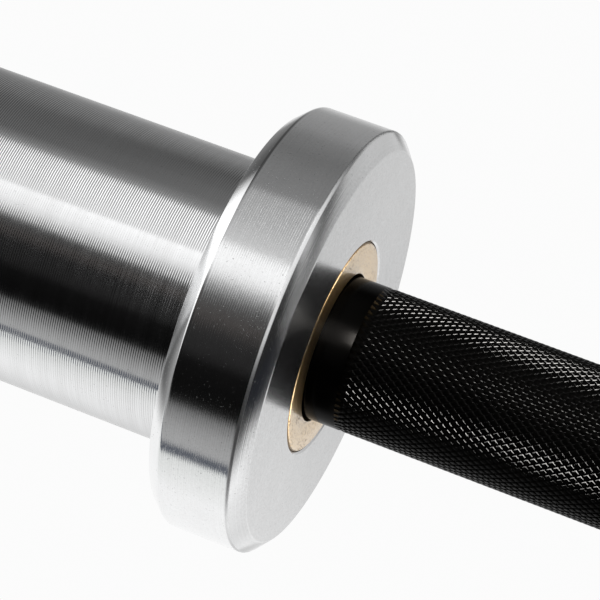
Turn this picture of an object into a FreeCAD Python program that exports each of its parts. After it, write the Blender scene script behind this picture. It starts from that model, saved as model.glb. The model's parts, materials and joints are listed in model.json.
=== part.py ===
"""An olympic barbell as a parametric document: one shaft and two spinning sleeves with all that holds them.

The bar lies along X with its origin at mid shaft. Each sleeve is drawn in a frame of its own, with X = 0 at
the collar's inner face and +X towards the sleeve's outer end, and is then placed on the left or the right.
"""
import FreeCAD, Part
import math
import os
from enum import IntEnum
import Sketcher

# Driving sizes in millimetres: name, value, what it measures.
SIZES = [
    ("overall_length", 2010, "bar from end to end"),
    ("grip_length", 1310, "between the inner faces of the two collars"),
    ("shaft_dia", 25, "shaft, full round"),
    ("bushing_wall", 6, "bronze wall between shaft and sleeve"),
    ("sleeve_wall", 6.5, "sleeve wall round a bushing"),
    ("seat_step", 2.5, "ledge inside the sleeve that a bushing stops against"),
    ("spigot_step", 1, "step from the sleeve down to the spigot that carries the collar"),
    ("sleeve_end_bevel", 1.5, "outer edge of the sleeve's free end"),
    ("spigot_bevel", 0.5, "outer edge of the spigot's end inside the collar"),
    ("collar_width", 17, "collar along the bar"),
    ("collar_height", 12, "collar above the sleeve"),
    ("collar_lip", 5, "part of the collar that covers the spigot's end"),
    ("face_bevel_length", 2.2, "bevel round the collar's inner face, along the bar"),
    ("face_bevel_drop", 2.7, "bevel round the collar's inner face, across the bar"),
    ("back_bevel_length", 2.5, "bevel on the collar's plate side, along the bar"),
    ("back_bevel_drop", 2.3, "bevel on the collar's plate side, across the bar"),
    ("seam_bevel", 0.5, "bevels that make the seam between collar and bushing"),
    ("inner_bushing_length", 60, "bushing that shows in the collar's face"),
    ("entry_gap", 0.75, "relief round the shaft at the mouth of the inner bushing"),
    ("entry_depth", 4, "depth of that relief"),
    ("entry_bevel", 0.6, "bevel on the mouth of the inner bushing"),
    ("outer_bushing_length", 28, "flanged bushing near the sleeve's end, flange included"),
    ("flange_width", 2.5, "flange beyond the bushing's outside"),
    ("flange_thickness", 3, "flange along the bar"),
    ("bushing_bevel", 0.8, "lead-in at the end of a pressed-in bushing"),
    ("shoulder_step", 1.5, "step from the shaft down to its journal"),
    ("thrust_washer_thickness", 2.5, "washer against the shaft's shoulder"),
    ("end_washer_thickness", 2, "washer against the bushing's flange"),
    ("shim_thickness", 0.5, "shim that sets the end float"),
    ("shim_inset", 1, "shim's rim inside the end washer's rim"),
    ("washer_room", 1, "room round the washers' rims"),
    ("shaft_ring_thickness", 1.2, "snap ring on the shaft"),
    ("shaft_ring_back", 3.1, "its width opposite the gap"),
    ("shaft_ring_tip", 1.9, "its width beside the gap"),
    ("shaft_ring_gap", 3, "opening between its lugs"),
    ("shaft_lug_width", 3.8, "one lug, round the ring"),
    ("shaft_lug_height", 5, "lug, from the groove's floor outwards"),
    ("shaft_lug_hole", 1.9, "plier hole in a lug"),
    ("shaft_groove_depth", 0.5, "groove in the journal"),
    ("shaft_end_land", 3, "journal left beyond the groove"),
    ("shaft_end_bevel", 1, "bevel on the shaft's ends"),
    ("shaft_end_room", 2, "between the shaft's end and the cap"),
    ("cap_thickness", 4, "closed face of the end cap"),
    ("cap_bevel", 0.6, "edge of the end cap's face"),
    ("cap_ring_setback", 4, "sleeve left beyond the cap's snap ring"),
    ("cap_ring_thickness", 1.75, "snap ring that holds the cap"),
    ("cap_ring_back", 4.1, "its width opposite the gap"),
    ("cap_ring_tip", 2.6, "its width beside the gap"),
    ("cap_ring_gap", 9, "opening between its lugs"),
    ("cap_lug_width", 5, "one lug, round the ring"),
    ("cap_lug_height", 6.6, "lug, from the groove's floor inwards"),
    ("cap_lug_hole", 2.5, "plier hole in a lug"),
    ("cap_groove_depth", 1.25, "groove in the sleeve's mouth"),
    ("mouth_bevel", 1, "inner edge of the sleeve's free end"),
    ("lug_round", 1.2, "corner radius of the snap rings' lugs"),
    ("running_gap", 0.05, "radial clearance of a bushing on the shaft"),
    ("press_gap", 0.02, "radial clearance drawn for pressed and seated pieces"),
    ("washer_gap", 0.1, "radial clearance of a washer on its journal"),
    ("end_float", 0.1, "axial clearance on each side of the outer bushing"),
    ("ring_play", 0.1, "axial clearance of a snap ring in its groove"),
]

# Radii and stations along a sleeve, each worked out from the sizes and from the lines above it.
STATIONS = [
    ("half_grip", "Sizes.grip_length / 2"),
    ("shaft_r", "Sizes.shaft_dia / 2"),
    ("journal_r", "shaft_r - Sizes.shoulder_step"),
    ("shaft_groove_r", "journal_r - Sizes.shaft_groove_depth"),
    ("bushing_r", "shaft_r + Sizes.bushing_wall"),
    ("seat_r", "bushing_r + Sizes.press_gap"),
    ("bore_r", "bushing_r - Sizes.seat_step"),
    ("flange_r", "bushing_r + Sizes.flange_width"),
    ("mouth_r", "flange_r + Sizes.press_gap"),
    ("cap_groove_r", "mouth_r + Sizes.cap_groove_depth"),
    ("sleeve_r", "bushing_r + Sizes.sleeve_wall"),
    ("spigot_r", "sleeve_r - Sizes.spigot_step"),
    ("collar_bore_r", "spigot_r + Sizes.press_gap"),
    ("collar_r", "sleeve_r + Sizes.collar_height"),
    ("sleeve_end", "Sizes.overall_length / 2 - half_grip"),
    ("cap_ring_out", "sleeve_end - Sizes.cap_ring_setback - Sizes.ring_play / 2"),
    ("cap_face", "cap_ring_out - Sizes.cap_ring_thickness"),
    ("cap_back", "cap_face - Sizes.cap_thickness"),
    ("shaft_end", "cap_back - Sizes.shaft_end_room"),
    ("shaft_ring_out", "shaft_end - Sizes.shaft_end_land - Sizes.ring_play / 2"),
    ("shim_out", "shaft_ring_out - Sizes.shaft_ring_thickness"),
    ("washer_out", "shim_out - Sizes.shim_thickness"),
    ("washer_in", "washer_out - Sizes.end_washer_thickness"),
    ("flange_out", "washer_in - Sizes.end_float"),
    ("flange_in", "flange_out - Sizes.flange_thickness"),
    ("bushing_in", "flange_out - Sizes.outer_bushing_length"),
    ("thrust_out", "bushing_in - Sizes.end_float"),
    ("shoulder", "thrust_out - Sizes.thrust_washer_thickness"),
]

SIDES = {"left": -1, "right": 1}
UPRIGHT = FreeCAD.Vector(0, 0, 1)
HALF_TURN = 180
FULL_TURN = 360
SAME_PLACE = 1e-4


class Axis(IntEnum):
    """The sketch's own axes, as its constraints number them; the first also carries the origin."""
    ACROSS = -1
    UP = -2


class Spot(IntEnum):
    """The point of a line or a circle that a constraint holds."""
    START = 1
    END = 2
    CENTRE = 3


doc = FreeCAD.newDocument("Barbell")


def fill_sheet(name, rows):
    """Writes one sheet with a named cell per row."""
    sheet = doc.addObject("Spreadsheet::Sheet", name)
    for number, (alias, content, *meaning) in enumerate(rows, 1):
        sheet.set(f"A{number}", alias)
        sheet.set(f"B{number}", content)
        sheet.setAlias(f"B{number}", alias)
        sheet.set(f"C{number}", "".join(meaning))
    doc.recompute()
    return sheet


sizes = fill_sheet("Sizes", [(alias, str(length), meaning) for alias, length, meaning in SIZES])
fill_sheet("Stations", [(alias, "=" + formula) for alias, formula in STATIONS])


def value(expression):
    """The number that an expression of sheet cells stands for."""
    return float(sizes.evalExpression(expression))


def new_body(label):
    """An empty body named after its piece."""
    return doc.addObject("PartDesign::Body", label)


def origin_plane(body, role):
    """One of a body's own origin planes."""
    return next(plane for plane in body.Origin.OriginFeatures if plane.Role == role)


def new_sketch(body, name, role):
    """A sketch on one of the body's origin planes."""
    sketch = body.newObject("Sketcher::SketchObject", name)
    sketch.AttachmentSupport = (origin_plane(body, role), [""])
    sketch.MapMode = "FlatFace"
    return sketch


def bind(sketch, constraint, expression):
    """Adds a dimension to a sketch and ties it to the sheet."""
    index = sketch.addConstraint(constraint)
    sketch.setExpression(f"Constraints[{index}]", expression)


def pin_point(sketch, geometry, point, across, up):
    """Holds a point at two signed distances from the sketch's origin, each an expression."""
    origin = (Axis.ACROSS, Spot.START)
    for kind, axis, expression in (("DistanceX", Axis.UP, across), ("DistanceY", Axis.ACROSS, up)):
        distance = value(expression)
        if abs(distance) < SAME_PLACE:
            sketch.addConstraint(Sketcher.Constraint("PointOnObject", geometry, point, axis))
        elif distance > 0:
            bind(sketch, Sketcher.Constraint(kind, *origin, geometry, point, distance), expression)
        else:
            bind(sketch, Sketcher.Constraint(kind, geometry, point, *origin, -distance), f"-({expression})")


def draw_outline(sketch, corners):
    """A closed outline of straight lines through corners given as pairs of expressions."""
    places = [FreeCAD.Vector(value(across), value(up), 0) for across, up in corners]
    lines = [sketch.addGeometry(Part.LineSegment(here, there))
             for here, there in zip(places, places[1:] + places[:1])]
    for line, following in zip(lines, lines[1:] + lines[:1]):
        sketch.addConstraint(Sketcher.Constraint("Coincident", line, Spot.END, following, Spot.START))
    for line, (across, up) in zip(lines, corners):
        pin_point(sketch, line, Spot.START, across, up)


def draw_circle(sketch, across, up, radius):
    """A circle whose centre and radius are expressions."""
    centre = FreeCAD.Vector(value(across), value(up), 0)
    circle = sketch.addGeometry(Part.Circle(centre, UPRIGHT, value(radius)))
    pin_point(sketch, circle, Spot.CENTRE, across, up)
    bind(sketch, Sketcher.Constraint("Radius", circle, value(radius)), radius)


def add_feature(body, kind, name, sketch):
    """A feature made from a sketch, as the body's newest step."""
    feature = body.newObject(f"PartDesign::{kind}", name)
    feature.Profile = sketch
    body.Tip = feature
    return feature


def turned(label, corners):
    """A turned piece: half its section, as (along the bar, radius) pairs, spun round the bar's axis."""
    body = new_body(label)
    sketch = new_sketch(body, "Section", "XZ_Plane")
    draw_outline(sketch, corners)
    spin = add_feature(body, "Revolution", "Spin", sketch)
    spin.ReferenceAxis = (sketch, ["H_Axis"])
    spin.Angle = FULL_TURN
    doc.recompute()
    return body


def ring_section(inner, outer, start, end):
    """The square-edged section of a plain washer."""
    return [(start, inner), (start, outer), (end, outer), (end, inner)]


def round_edges(body, edges, radius):
    """A fillet on some of the edges of the body's newest step."""
    base = body.Tip
    fillet = body.newObject("PartDesign::Fillet", "Rounds")
    fillet.Base = (base, edges)
    fillet.setExpression("Radius", radius)
    body.Tip = fillet
    doc.recompute()


def corner_edges(body, corners):
    """The names of the edges along the bar at pairs of (Y, Z) expressions."""
    wanted = [(value(across), value(up)) for across, up in corners]
    names = []
    for number, edge in enumerate(body.Tip.Shape.Edges, 1):
        first, last = edge.Vertexes[0].Point, edge.Vertexes[-1].Point
        along = first.distanceToPoint(last) > SAME_PLACE and math.dist(first[1:], last[1:]) < SAME_PLACE
        if along and any(math.dist(first[1:], corner) < SAME_PLACE for corner in wanted):
            names.append(f"Edge{number}")
    return names


def make_shaft():
    """One bar with a journal, a shoulder and a snap-ring groove at both ends."""
    groove_in = "Stations.half_grip + Stations.shim_out - Sizes.ring_play / 2"
    groove_out = "Stations.half_grip + Stations.shaft_ring_out + Sizes.ring_play / 2"
    shoulder = "Stations.half_grip + Stations.shoulder"
    end = "Stations.half_grip + Stations.shaft_end"
    body = turned("shaft", [
        ("0", "0"), ("0", "Stations.shaft_r"),
        (shoulder, "Stations.shaft_r"), (shoulder, "Stations.journal_r"),
        (groove_in, "Stations.journal_r"), (groove_in, "Stations.shaft_groove_r"),
        (groove_out, "Stations.shaft_groove_r"), (groove_out, "Stations.journal_r"),
        (f"{end} - Sizes.shaft_end_bevel", "Stations.journal_r"),
        (end, "Stations.journal_r - Sizes.shaft_end_bevel"), (end, "0"),
    ])
    half = body.Tip
    mirror = body.newObject("PartDesign::Mirrored", "OtherHalf")
    mirror.Originals = [half]
    mirror.MirrorPlane = (origin_plane(body, "YZ_Plane"), [""])
    body.Tip = mirror
    return body


def make_sleeve(label):
    """The tube that carries the plates, turned down for its collar and bored for its bushings and end cap."""
    end = "Stations.sleeve_end"
    return turned(label, [
        ("Sizes.collar_lip", "Stations.seat_r"),
        ("Sizes.collar_lip", "Stations.spigot_r - Sizes.spigot_bevel"),
        ("Sizes.collar_lip + Sizes.spigot_bevel", "Stations.spigot_r"),
        ("Sizes.collar_width", "Stations.spigot_r"), ("Sizes.collar_width", "Stations.sleeve_r"),
        (f"{end} - Sizes.sleeve_end_bevel", "Stations.sleeve_r"),
        (end, "Stations.sleeve_r - Sizes.sleeve_end_bevel"),
        (end, "Stations.mouth_r + Sizes.mouth_bevel"),
        (f"{end} - Sizes.mouth_bevel", "Stations.mouth_r"),
        ("Stations.cap_ring_out + Sizes.ring_play / 2", "Stations.mouth_r"),
        ("Stations.cap_ring_out + Sizes.ring_play / 2", "Stations.cap_groove_r"),
        ("Stations.cap_face - Sizes.ring_play / 2", "Stations.cap_groove_r"),
        ("Stations.cap_face - Sizes.ring_play / 2", "Stations.mouth_r"),
        ("Stations.flange_in", "Stations.mouth_r"), ("Stations.flange_in", "Stations.seat_r"),
        ("Stations.bushing_in", "Stations.seat_r"), ("Stations.bushing_in", "Stations.bore_r"),
        ("Sizes.inner_bushing_length", "Stations.bore_r"), ("Sizes.inner_bushing_length", "Stations.seat_r"),
    ])


def make_collar(label):
    """The ring on the sleeve's spigot: its lip stops on the spigot's end and lets the bushing through.

    A lead-in as high as the spigot's step opens its bore, so that the plate side is flat up to the sleeve.
    """
    return turned(label, [
        ("Sizes.seam_bevel", "Stations.seat_r"), ("0", "Stations.seat_r + Sizes.seam_bevel"),
        ("0", "Stations.collar_r - Sizes.face_bevel_drop"), ("Sizes.face_bevel_length", "Stations.collar_r"),
        ("Sizes.collar_width - Sizes.back_bevel_length", "Stations.collar_r"),
        ("Sizes.collar_width", "Stations.collar_r - Sizes.back_bevel_drop"),
        ("Sizes.collar_width", "Stations.collar_bore_r + Sizes.spigot_step"),
        ("Sizes.collar_width - Sizes.spigot_step", "Stations.collar_bore_r"),
        ("Sizes.collar_lip", "Stations.collar_bore_r"), ("Sizes.collar_lip", "Stations.seat_r"),
    ])


def make_inner_bushing(label):
    """The plain bushing in the collar, relieved and bevelled where the shaft goes in."""
    run_r = "Stations.shaft_r + Sizes.running_gap"
    entry_r = "Stations.shaft_r + Sizes.entry_gap"
    end = "Sizes.inner_bushing_length"
    return turned(label, [
        ("Sizes.entry_depth", entry_r), ("Sizes.entry_bevel", entry_r),
        ("0", f"{entry_r} + Sizes.entry_bevel"),
        ("0", "Stations.bushing_r - Sizes.seam_bevel"), ("Sizes.seam_bevel", "Stations.bushing_r"),
        (f"{end} - Sizes.bushing_bevel", "Stations.bushing_r"),
        (end, "Stations.bushing_r - Sizes.bushing_bevel"), (end, run_r),
        ("Sizes.entry_depth + Sizes.entry_gap - Sizes.running_gap", run_r),
    ])


def make_outer_bushing(label):
    """The flanged bushing on the journal, trapped between the sleeve's ledge and the cap's skirt."""
    run_r = "Stations.journal_r + Sizes.running_gap"
    return turned(label, [
        ("Stations.bushing_in", run_r), ("Stations.bushing_in", "Stations.bushing_r - Sizes.bushing_bevel"),
        ("Stations.bushing_in + Sizes.bushing_bevel", "Stations.bushing_r"),
        ("Stations.flange_in", "Stations.bushing_r"), ("Stations.flange_in", "Stations.flange_r"),
        ("Stations.flange_out", "Stations.flange_r"), ("Stations.flange_out", run_r),
    ])


def make_washer(label, rim, start, end):
    """A washer on the journal."""
    return turned(label, ring_section("Stations.journal_r + Sizes.washer_gap", rim, start, end))


def make_end_cap(label):
    """A cup in the sleeve's mouth: a bare face, and a skirt that stands on the bushing's flange."""
    return turned(label, [
        ("Stations.flange_out", "Stations.bushing_r"), ("Stations.flange_out", "Stations.flange_r"),
        ("Stations.cap_face - Sizes.cap_bevel", "Stations.flange_r"),
        ("Stations.cap_face", "Stations.flange_r - Sizes.cap_bevel"), ("Stations.cap_face", "0"),
        ("Stations.cap_back", "0"), ("Stations.cap_back", "Stations.bushing_r"),
    ])


def across_piece(body, kind, name, thickness, draw):
    """A pad or a pocket through a flat piece, from a sketch across the bar that draw fills."""
    sketch = new_sketch(body, name + "Sketch", "YZ_Plane")
    draw(sketch)
    feature = add_feature(body, kind, name, sketch)
    feature.Reversed = kind == "Pocket"
    feature.setExpression("Length", thickness)
    doc.recompute()


def block(half_width, low, high, *peak):
    """A drawing of an upright block centred on the gap, with a peak in the middle of its top if given."""
    corners = [(f"-({half_width})", low), (half_width, low), (half_width, high)]
    corners += [("0", height) for height in peak]
    corners.append((f"-({half_width})", high))
    return lambda sketch: draw_outline(sketch, corners)


def circles(*rounds):
    """A drawing of circles given as (across, up, radius) expressions."""
    def draw(sketch):
        for across, up, radius in rounds:
            draw_circle(sketch, across, up, radius)
    return draw


def cut_lugs(body, name, thickness, middle, tip, top):
    """Opens a snap ring's gap, drills its plier holes and rounds its lugs."""
    half_gap = f"Sizes.{name}_ring_gap / 2"
    half_lugs = f"{half_gap} + Sizes.{name}_lug_width"
    hole = f"{half_gap} + Sizes.{name}_lug_width / 2"
    radius = f"Sizes.{name}_lug_hole / 2"
    across_piece(body, "Pocket", "Gap", thickness, block(half_gap, "0", top))
    across_piece(body, "Pocket", "PlierHoles", thickness,
                 circles((hole, middle, radius), (f"-({hole})", middle, radius)))
    corners = [(f"{sign}({half})", tip) for sign in ("", "-") for half in (half_gap, half_lugs)]
    round_edges(body, corner_edges(body, corners), "Sizes.lug_round")


def make_shaft_ring(label):
    """The outer snap ring: an eccentric hoop that grips the shaft's groove, with lugs that point outwards."""
    thickness = "Sizes.shaft_ring_thickness"
    grip_r = "Stations.shaft_groove_r + Sizes.press_gap"
    rim_r = f"{grip_r} + (Sizes.shaft_ring_back + Sizes.shaft_ring_tip) / 2"
    offset = "(Sizes.shaft_ring_tip - Sizes.shaft_ring_back) / 2"
    half_lugs = "Sizes.shaft_ring_gap / 2 + Sizes.shaft_lug_width"
    tip = f"{grip_r} + Sizes.shaft_lug_height"
    middle = f"{grip_r} + (Sizes.shaft_ring_tip + Sizes.shaft_lug_height) / 2"
    body = new_body(label)
    across_piece(body, "Pad", "Disc", thickness, circles(("0", offset, rim_r)))
    across_piece(body, "Pad", "Lugs", thickness, block(half_lugs, "0", tip))
    across_piece(body, "Pocket", "Grip", thickness, circles(("0", "0", grip_r)))
    cut_lugs(body, "shaft", thickness, middle, tip, f"{tip} + Sizes.shaft_lug_height")
    return body


def make_cap_ring(label):
    """The inner snap ring: an eccentric hoop sprung into the sleeve's groove, with lugs that point inwards."""
    thickness = "Sizes.cap_ring_thickness"
    rim_r = "Stations.cap_groove_r - Sizes.press_gap"
    hole_r = f"{rim_r} - (Sizes.cap_ring_back + Sizes.cap_ring_tip) / 2"
    offset = "(Sizes.cap_ring_back - Sizes.cap_ring_tip) / 2"
    half_lugs = "Sizes.cap_ring_gap / 2 + Sizes.cap_lug_width"
    tip = f"{rim_r} - Sizes.cap_lug_height"
    middle = f"{rim_r} - (Sizes.cap_ring_tip + Sizes.cap_lug_height) / 2"
    inside_hoop = f"{rim_r} - Sizes.cap_ring_tip / 2"
    beside_lugs = f"sqrt(({inside_hoop})^2 - ({half_lugs})^2)"
    body = new_body(label)
    across_piece(body, "Pad", "Hoop", thickness, circles(("0", "0", rim_r), ("0", offset, hole_r)))
    across_piece(body, "Pad", "Lugs", thickness, block(half_lugs, tip, beside_lugs, inside_hoop))
    cut_lugs(body, "cap", thickness, middle, tip, f"{rim_r} + Sizes.cap_lug_height")
    return body


def place(body, side, station="0"):
    """Puts a piece of a sleeve on its side of the bar; the left is the right turned half round."""
    turn = 0 if SIDES[side] > 0 else HALF_TURN
    body.Placement = FreeCAD.Placement(FreeCAD.Vector(), FreeCAD.Rotation(UPRIGHT, turn))
    body.setExpression("Placement.Base.x", f"{SIDES[side]} * (Stations.half_grip + {station})")
    return body


def make_side(side):
    """All the pieces at one end of the bar."""
    thrust_rim = "Stations.bore_r - Sizes.washer_room"
    washer_rim = "Stations.bushing_r - Sizes.washer_room"
    pieces = [
        place(make_sleeve(f"{side}_sleeve"), side),
        place(make_collar(f"{side}_collar"), side),
        place(make_inner_bushing(f"{side}_inner_bushing"), side),
        place(make_outer_bushing(f"{side}_outer_bushing"), side),
        place(make_end_cap(f"{side}_end_cap"), side),
        place(make_shaft_ring(f"{side}_shaft_snap_ring"), side, "Stations.shim_out"),
        place(make_cap_ring(f"{side}_cap_snap_ring"), side, "Stations.cap_face"),
    ]
    for name, rim, start, end in (
            ("thrust_washer", thrust_rim, "Stations.shoulder", "Stations.thrust_out"),
            ("end_washer", washer_rim, "Stations.washer_in", "Stations.washer_out"),
            ("shim_washer", f"{washer_rim} - Sizes.shim_inset", "Stations.washer_out", "Stations.shim_out")):
        pieces.append(place(make_washer(f"{side}_{name}", rim, start, end), side))
    return pieces


def check_document(pieces):
    """Stops if any step failed or any piece isn't one sound solid."""
    for item in doc.Objects:
        if {"Invalid", "Error"} & set(item.State):
            raise RuntimeError(f"{item.Label} failed: {item.State}")
    for piece in pieces:
        shape = piece.Shape
        if shape.isNull() or not shape.isValid() or len(shape.Solids) != 1:
            raise RuntimeError(f"{piece.Label} isn't one sound solid")


def main():
    """Builds the bar, checks it and writes one file per piece."""
    pieces = [make_shaft()]
    for side in SIDES:
        pieces += make_side(side)
    doc.recompute()
    check_document(pieces)
    os.makedirs("parts", exist_ok=True)
    for piece in pieces:
        piece.Shape.exportStep(f"parts/{piece.Label}.step")
        box = piece.Shape.BoundBox
        print(f"{piece.Label}: {piece.Shape.Volume:.0f} mm3, x {box.XMin:.2f} to {box.XMax:.2f}, "
              f"z {box.ZMin:.2f} to {box.ZMax:.2f}")


main()
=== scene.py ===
"""An olympic barbell dressed for the studio.

The visible pieces are turned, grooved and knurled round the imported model, and each finish lays out its own shader.
The bar lies along X. Sizes in the classes are millimetres, and MM brings them to the scene's metres.
"""
import json
import logging
import math
import re
from dataclasses import dataclass, field, replace
from enum import Enum
from typing import Any, Callable, Sequence

import bmesh
import bpy
from mathutils import Matrix, Vector

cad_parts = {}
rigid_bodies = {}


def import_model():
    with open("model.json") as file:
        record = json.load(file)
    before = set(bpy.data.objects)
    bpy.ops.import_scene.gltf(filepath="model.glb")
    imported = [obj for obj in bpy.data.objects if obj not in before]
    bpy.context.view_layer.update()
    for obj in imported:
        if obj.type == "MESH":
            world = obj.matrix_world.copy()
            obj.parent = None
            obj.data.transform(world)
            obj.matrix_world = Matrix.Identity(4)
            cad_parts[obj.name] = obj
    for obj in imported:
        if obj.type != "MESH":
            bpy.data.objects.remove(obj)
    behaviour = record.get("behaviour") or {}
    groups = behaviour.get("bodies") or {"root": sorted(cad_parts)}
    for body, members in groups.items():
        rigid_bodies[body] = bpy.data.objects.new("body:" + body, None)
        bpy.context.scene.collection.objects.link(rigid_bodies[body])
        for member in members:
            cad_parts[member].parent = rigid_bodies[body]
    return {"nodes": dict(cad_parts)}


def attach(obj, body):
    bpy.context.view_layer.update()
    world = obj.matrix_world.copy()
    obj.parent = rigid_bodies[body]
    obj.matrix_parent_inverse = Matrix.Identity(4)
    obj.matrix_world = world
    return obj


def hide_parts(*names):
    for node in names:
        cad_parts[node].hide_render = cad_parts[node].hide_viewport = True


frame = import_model()

Piece = bpy.types.Object
Socket = bpy.types.NodeSocket
Material = bpy.types.Material
Point = Colour = tuple[float, float, float]
Shade = float | Colour
Span = tuple[float, float]
Stops = tuple[tuple[float, Shade], ...]
Outline = tuple[tuple[float, ...], ...]

MM = 0.001
# In metres: doubles nearer than WELD are merged, and places nearer than NEAR, or points nearer than SAME, are one.
WELD = 3e-6
NEAR = 1e-6
SAME = 1e-7
QUARTER = math.pi / 2
SHAFT_BODY = "shaft"
log = logging.getLogger("barbell")


class Side(Enum):
    """An end of the bar, valued by the sign of X there."""

    LEFT = -1
    RIGHT = 1

    @property
    def word(self) -> str:
        """The side's name as the nodes spell it."""
        return self.name.lower()

    @property
    def body(self) -> str:
        """The body that spins at this end."""
        return f"{self.word}_sleeve_unit"


class Slot(Enum):
    """The record's material slots; the sleeve units list them beside their new pieces but give them to none."""

    SHAFT = "shaft_black"
    SLEEVE = "sleeve_plating"
    COLLAR = "collar_plating"
    BRONZE = "bushing_bronze"
    CAP = "cap_metal"


class Stretch(Enum):
    """A knurled stretch of the shaft, on the inner or the outer side of the knurl mark."""

    INNER = "inner"
    OUTER = "outer"


class Element(Enum):
    """What a selection is made of, valued by the select mode's name."""

    VERTEX = "VERT"
    EDGE = "EDGE"
    FACE = "FACE"


@dataclass(frozen=True)
class Corner:
    """A corner of a turned outline: its place along the bar, its radius, and how far it is rounded."""

    x: float
    r: float
    rounding: float = 0.0


class Bench:
    """The hand tools that every piece is made with."""

    @staticmethod
    def clear() -> None:
        """Leaves edit mode and lets go of everything."""
        if bpy.context.mode != "OBJECT":
            bpy.ops.object.mode_set(mode="OBJECT")
        bpy.ops.object.select_all(action="DESELECT")

    @staticmethod
    def open(piece: Piece) -> None:
        """Takes one piece into edit mode.

        Args:
            piece: The piece.
        """
        Bench.clear()
        bpy.context.view_layer.objects.active = piece
        piece.select_set(True)
        bpy.ops.object.mode_set(mode="EDIT")

    @staticmethod
    def pick(piece: Piece, element: Element, wanted: Callable[[Any], bool]) -> None:
        """Selects the vertices, edges or faces of the open piece that pass a test.

        Args:
            piece: The piece in edit mode.
            element: What to select.
            wanted: The test that each of them is put to.
        """
        bpy.ops.mesh.select_mode(type=element.value)
        bpy.ops.mesh.select_all(action="DESELECT")
        mesh = bmesh.from_edit_mesh(piece.data)
        pools = {Element.VERTEX: mesh.verts, Element.EDGE: mesh.edges, Element.FACE: mesh.faces}
        for part in pools[element]:
            if wanted(part):
                part.select_set(True)
        mesh.select_flush_mode()
        bmesh.update_edit_mesh(piece.data, loop_triangles=False, destructive=False)

    @staticmethod
    def radius(point: Vector) -> float:
        """The distance of a point from the bar's axis."""
        return math.hypot(point.y, point.z)

    @staticmethod
    def is_ring(edge: Any) -> bool:
        """Whether an edge lies in a plane across the bar."""
        return abs(edge.verts[0].co.x - edge.verts[1].co.x) < NEAR

    @staticmethod
    def swell(factor: float) -> None:
        """Scales the selection away from the bar's axis, across the bar only."""
        bpy.ops.transform.resize(value=(1, factor, factor), center_override=(0, 0, 0))

    @staticmethod
    def draw_on(x: float, factor: float) -> None:
        """Extrudes the selected rim, presses it flat at a place along the bar and swells it.

        Args:
            x: The place, in millimetres.
            factor: How much wider the new rim is.
        """
        bpy.ops.mesh.extrude_region_move()
        bpy.ops.transform.resize(value=(0, 1, 1), center_override=(x * MM, 0, 0))
        Bench.swell(factor)

    @staticmethod
    def repeat(piece: Piece, count: int, step: float) -> None:
        """Repeats the active piece along the bar, each copy welded to the last, and opens it.

        Args:
            piece: The piece in object mode.
            count: How many there are in the end.
            step: The way from one to the next, in millimetres.
        """
        row = piece.modifiers.new("row", "ARRAY")
        row.count = count
        row.use_relative_offset = False
        row.use_constant_offset = True
        row.constant_offset_displace = (step * MM, 0, 0)
        row.use_merge_vertices = True
        row.merge_threshold = NEAR
        bpy.ops.object.modifier_apply(modifier=row.name)
        Bench.open(piece)

    @staticmethod
    def weld() -> None:
        """Merges the open piece's doubles and leaves all of it selected."""
        bpy.ops.mesh.select_all(action="SELECT")
        bpy.ops.mesh.remove_doubles(threshold=WELD)

    @staticmethod
    def close(piece: Piece, name: str, crease: float) -> Piece:
        """Welds a piece, turns its faces outwards and smooths it up to an angle.

        Args:
            piece: The piece in edit mode.
            name: The name that it gets.
            crease: The angle in degrees above which an edge stays sharp.

        Returns:
            The finished piece in object mode.
        """
        Bench.weld()
        bpy.ops.mesh.normals_make_consistent(inside=False)
        bpy.ops.object.mode_set(mode="OBJECT")
        bpy.ops.object.shade_smooth_by_angle(angle=math.radians(crease), keep_sharp_edges=True)
        piece.name = piece.data.name = name
        return piece


@dataclass(frozen=True)
class Lathe:
    """Turns an outline round the bar's axis."""

    steps: int = 128
    round_steps: int = 4
    crease: float = 32.0

    def outline(self, corners: Sequence[Corner], closed: bool) -> Piece:
        """Draws an outline as a wire in the plane of X and Z and rounds its corners.

        Args:
            corners: The outline's corners in order.
            closed: Whether the last corner joins the first.

        Returns:
            The wire, in edit mode.
        """
        Bench.clear()
        start = corners[0]
        bpy.ops.mesh.primitive_plane_add(size=MM, location=(start.x * MM, 0, start.r * MM))
        wire = bpy.context.object
        bpy.ops.object.transform_apply()
        Bench.open(wire)
        bpy.ops.mesh.select_mode(type=Element.VERTEX.value)
        bpy.ops.mesh.select_all(action="SELECT")
        bpy.ops.mesh.merge(type="CENTER")
        for here, there in zip(corners, corners[1:]):
            move = ((there.x - here.x) * MM, 0, (there.r - here.r) * MM)
            bpy.ops.mesh.extrude_vertices_move(TRANSFORM_OT_translate={"value": move})
        if closed:
            Bench.pick(wire, Element.VERTEX, lambda vertex: len(vertex.link_edges) == 1)
            bpy.ops.mesh.edge_face_add()
        for corner in corners:
            if corner.rounding:
                place = Vector((corner.x * MM, 0, corner.r * MM))
                Bench.pick(wire, Element.VERTEX, lambda vertex: (vertex.co - place).length < NEAR)
                bpy.ops.mesh.bevel(affect="VERTICES", offset=corner.rounding * MM, segments=self.round_steps)
        return wire

    def turn(self, name: str, corners: Sequence[Corner], closed: bool = True) -> Piece:
        """Makes a turned piece.

        Args:
            name: The piece's name.
            corners: Its outline.
            closed: Whether the outline is a loop clear of the axis, or a line from axis to axis.

        Returns:
            The piece in object mode.
        """
        piece = self.outline(corners, closed)
        bpy.ops.mesh.select_all(action="SELECT")
        bpy.ops.mesh.spin(steps=self.steps, angle=math.tau, center=(0, 0, 0), axis=(1, 0, 0), use_auto_merge=True)
        return Bench.close(piece, name, self.crease)


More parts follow.
